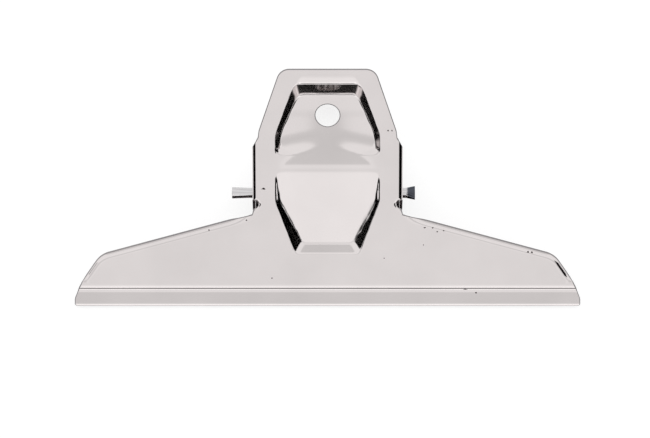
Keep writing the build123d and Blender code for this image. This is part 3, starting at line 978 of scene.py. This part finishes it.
def metal(name, dull, bright, smooth_to, rough_to, wave, grain):
    """Metal with cloudy colour and polish, a gentle wave in its face and a fine grain."""
    material = bpy.data.materials.new(name)
    material.use_nodes = True
    tree = material.node_tree
    shader = tree.nodes["Principled BSDF"]
    where = join(tree, "TexCoord", {}, "Object")
    cloud = join(tree, "TexNoise", {"Vector": where, "Scale": 70.0, "Detail": 4.0})
    tree.links.new(shades(tree, cloud, [(0.3, dull), (0.7, bright)]), shader.inputs["Base Color"])
    polish = {"Value": cloud, "From Min": 0.3, "From Max": 0.7, "To Min": smooth_to, "To Max": rough_to}
    tree.links.new(join(tree, "MapRange", polish), shader.inputs["Roughness"])
    shader.inputs["Metallic"].default_value = 1
    swell = join(tree, "TexNoise", {"Vector": where, "Scale": 45.0, "Detail": 1.0})
    drawn = join(tree, "Mapping", {"Vector": where, "Scale": (300, 4000, 4000)})
    fine = join(tree, "TexNoise", {"Vector": drawn, "Scale": 1.0, "Detail": 2.0})
    bump = join(tree, "Bump", {"Height": swell, "Distance": wave, "Strength": 1.0})
    bump = join(tree, "Bump", {"Height": fine, "Distance": grain, "Strength": 1.0, "Normal": bump})
    tree.links.new(bump, shader.inputs["Normal"])
    return material


def darkened_with_painted_reflection(material, start, end, colour):
    """Paints a dark stretch across a metal: a painted dark reflection, where its plating is also taken to
    end.
    """
    tree = material.node_tree
    shader = tree.nodes["Principled BSDF"]
    across = join(tree, "SeparateXYZ", {0: join(tree, "TexCoord", {}, "Object")}, "X")
    plain = shader.inputs["Base Color"].links[0].from_socket
    colour_a, colour_b, colour_out = 6, 7, 2  # a Mix node's sockets for colours
    inputs = {"Factor": between(tree, across, start * MM, end * MM), colour_a: plain, colour_b: (*colour, 1)}
    tree.links.new(join(tree, "Mix", inputs, colour_out, data_type="RGBA"), shader.inputs["Base Color"])


nickel = metal("nickel_plate", (0.65, 0.612, 0.607), (0.685, 0.645, 0.64), 0.07, 0.12, 4e-5, 3e-7)
pin_steel = metal("pin_steel", (0.55, 0.54, 0.55), (0.66, 0.65, 0.65), 0.12, 0.25, 2e-5, 1e-6)
spring_steel = metal("spring_steel", (0.42, 0.41, 0.41), (0.55, 0.54, 0.53), 0.18, 0.32, 1e-5, 2e-6)
# the pin's right end is painted dark: a painted dark reflection, on an end taken as unplated
darkened_with_painted_reflection(pin_steel, DARK_START, DARK_END, (0.07, 0.075, 0.09))
bare_steel = metal("bare_steel", (0.02, 0.016, 0.02), (0.07, 0.05, 0.05), 0.55, 0.8, 1e-5, 4e-6)
# dark metal for edges and the rim's outer bend: a painted dark reflection, on plating taken as worn
worn_and_shaded_edge = metal("worn_and_shaded_edge", (0.2, 0.19, 0.2), (0.3, 0.28, 0.28), 0.3, 0.45, 1e-5, 2e-6)

for sheet in (front_sheet, rear_sheet):
    for finish in (nickel, bare_steel, worn_and_shaded_edge):
        sheet.data.materials.append(finish)
hinge_pin.data.materials[0] = pin_steel
spring_wire.data.materials.append(spring_steel)


# Studio

CAMERA_SENSOR = 36  # millimetres, as is the lens
CAMERA_LENS = 154.3
CAMERA_AWAY = 0.8  # metres
AIM_UP = -7.5  # from the hinge
AIM_ACROSS = -0.72
FLOOR_HALF = 3  # metres
FLOOR_GLOW = 0.78

# Brightness of the room by the rise of a direction, from -1 down the clip to 1 up it
ROOM_LEVELS = [
    (-1, 0.02),
    (-0.9, 0.02),
    (-0.86, 0.45),
    (-0.815, 1.5),
    (-0.76, 1.5),
    (-0.71, 1.16),
    (-0.65, 1.2),
    (-0.47, 1.03),
    (-0.28, 1.1),
    (-0.18, 1.1),
    (-0.04, 0.88),
    (0.03, 0.85),
    (0.1, 0.88),
    (0.22, 1.13),
    (0.8, 1.1),
    (0.86, 0.84),
    (0.93, 0.84),
    (0.96, 1.05),
]

# Dark patches of the room: where across each starts and is at its darkest, and the rise of its foot and top
DARK_CARDS = [
    (0.68, 0.76, -0.5, 0.28),
    (0.35, 0.45, -0.5, -0.35),
    (-0.5, -0.58, -0.5, -0.35),
    (-0.68, -0.76, -0.5, -0.13),
    (-0.9, -0.96, -0.5, 0.28),
]
CARD_FADE = 0.1

towards = Vector((0, -sin(LIE), cos(LIE)))
upwards = Vector((0, cos(LIE), sin(LIE)))

camera = bpy.data.objects.new("camera", bpy.data.cameras.new("camera"))
bpy.context.collection.objects.link(camera)
bpy.context.scene.camera = camera
camera.data.sensor_width = CAMERA_SENSOR
camera.data.lens = CAMERA_LENS
aim = (Vector(HINGE) + upwards * AIM_UP + Vector((AIM_ACROSS, 0, 0))) * MM
facing = (-towards).to_track_quat("-Z", "Y")
camera.matrix_world = Matrix.LocRotScale(aim + towards * CAMERA_AWAY, facing, None)


def dark_card(tree, across, rise, card):
    """How dark a patch of the room is, in a direction."""
    start, end, foot, top = card
    above = between(tree, rise, foot - CARD_FADE, foot)
    below = between(tree, rise, top + CARD_FADE, top)
    level = reckoned(tree, "MULTIPLY", above, below)
    return reckoned(tree, "MULTIPLY", between(tree, across, start, end), level)


def studio_world():
    """A room with levels of light by height and dark patches at its sides."""
    world = bpy.data.worlds.new("studio")
    world.use_nodes = True
    tree = world.node_tree
    where = join(tree, "TexCoord", {}, "Generated")
    rise = join(tree, "VectorMath", {0: where, 1: upwards}, "Value", operation="DOT_PRODUCT")
    across = join(tree, "SeparateXYZ", {0: where}, "X")
    spread = join(tree, "MapRange", {"Value": rise, "From Min": -1.0, "From Max": 1.0})
    sky = shades(tree, spread, [((at + 1) / 2, (level,) * 3) for at, level in ROOM_LEVELS], "EASE")
    dark = 0.0
    for card in DARK_CARDS:
        dark = reckoned(tree, "MAXIMUM", dark, dark_card(tree, across, rise, card))
    background = tree.nodes["Background"]
    tree.links.new(sky, background.inputs["Color"])
    tree.links.new(reckoned(tree, "SUBTRACT", 1.0, dark), background.inputs["Strength"])
    return world


def floor_white():
    """Grey to the light that falls on it, and white where it is seen, mirrored or looked through to."""
    paper = bpy.data.materials.new("floor_white")
    paper.use_nodes = True
    tree = paper.node_tree
    shader = tree.nodes["Principled BSDF"]
    shader.inputs["Base Color"].default_value = (0.3, 0.3, 0.3, 1)
    shader.inputs["Roughness"].default_value = 1
    shader.inputs["Emission Color"].default_value = (1, 1, 1, 1)
    path = tree.nodes.new("ShaderNodeLightPath").outputs
    seen = reckoned(tree, "MAXIMUM", path["Is Camera Ray"], path["Is Glossy Ray"])
    seen = reckoned(tree, "MAXIMUM", seen, path["Is Transmission Ray"])
    tree.links.new(reckoned(tree, "MULTIPLY", seen, FLOOR_GLOW), shader.inputs["Emission Strength"])
    return paper


bpy.context.scene.world = studio_world()
bpy.context.scene.view_settings.view_transform = "Standard"

floor = bpy.data.objects.new("floor", bpy.data.meshes.new("floor"))
floor_corners = [(x * FLOOR_HALF, y * FLOOR_HALF, 0) for x, y in ((-1, -1), (1, -1), (1, 1), (-1, 1))]
floor.data.from_pydata(floor_corners, [], [(0, 1, 2, 3)])
bpy.context.collection.objects.link(floor)
floor.data.materials.append(floor_white())
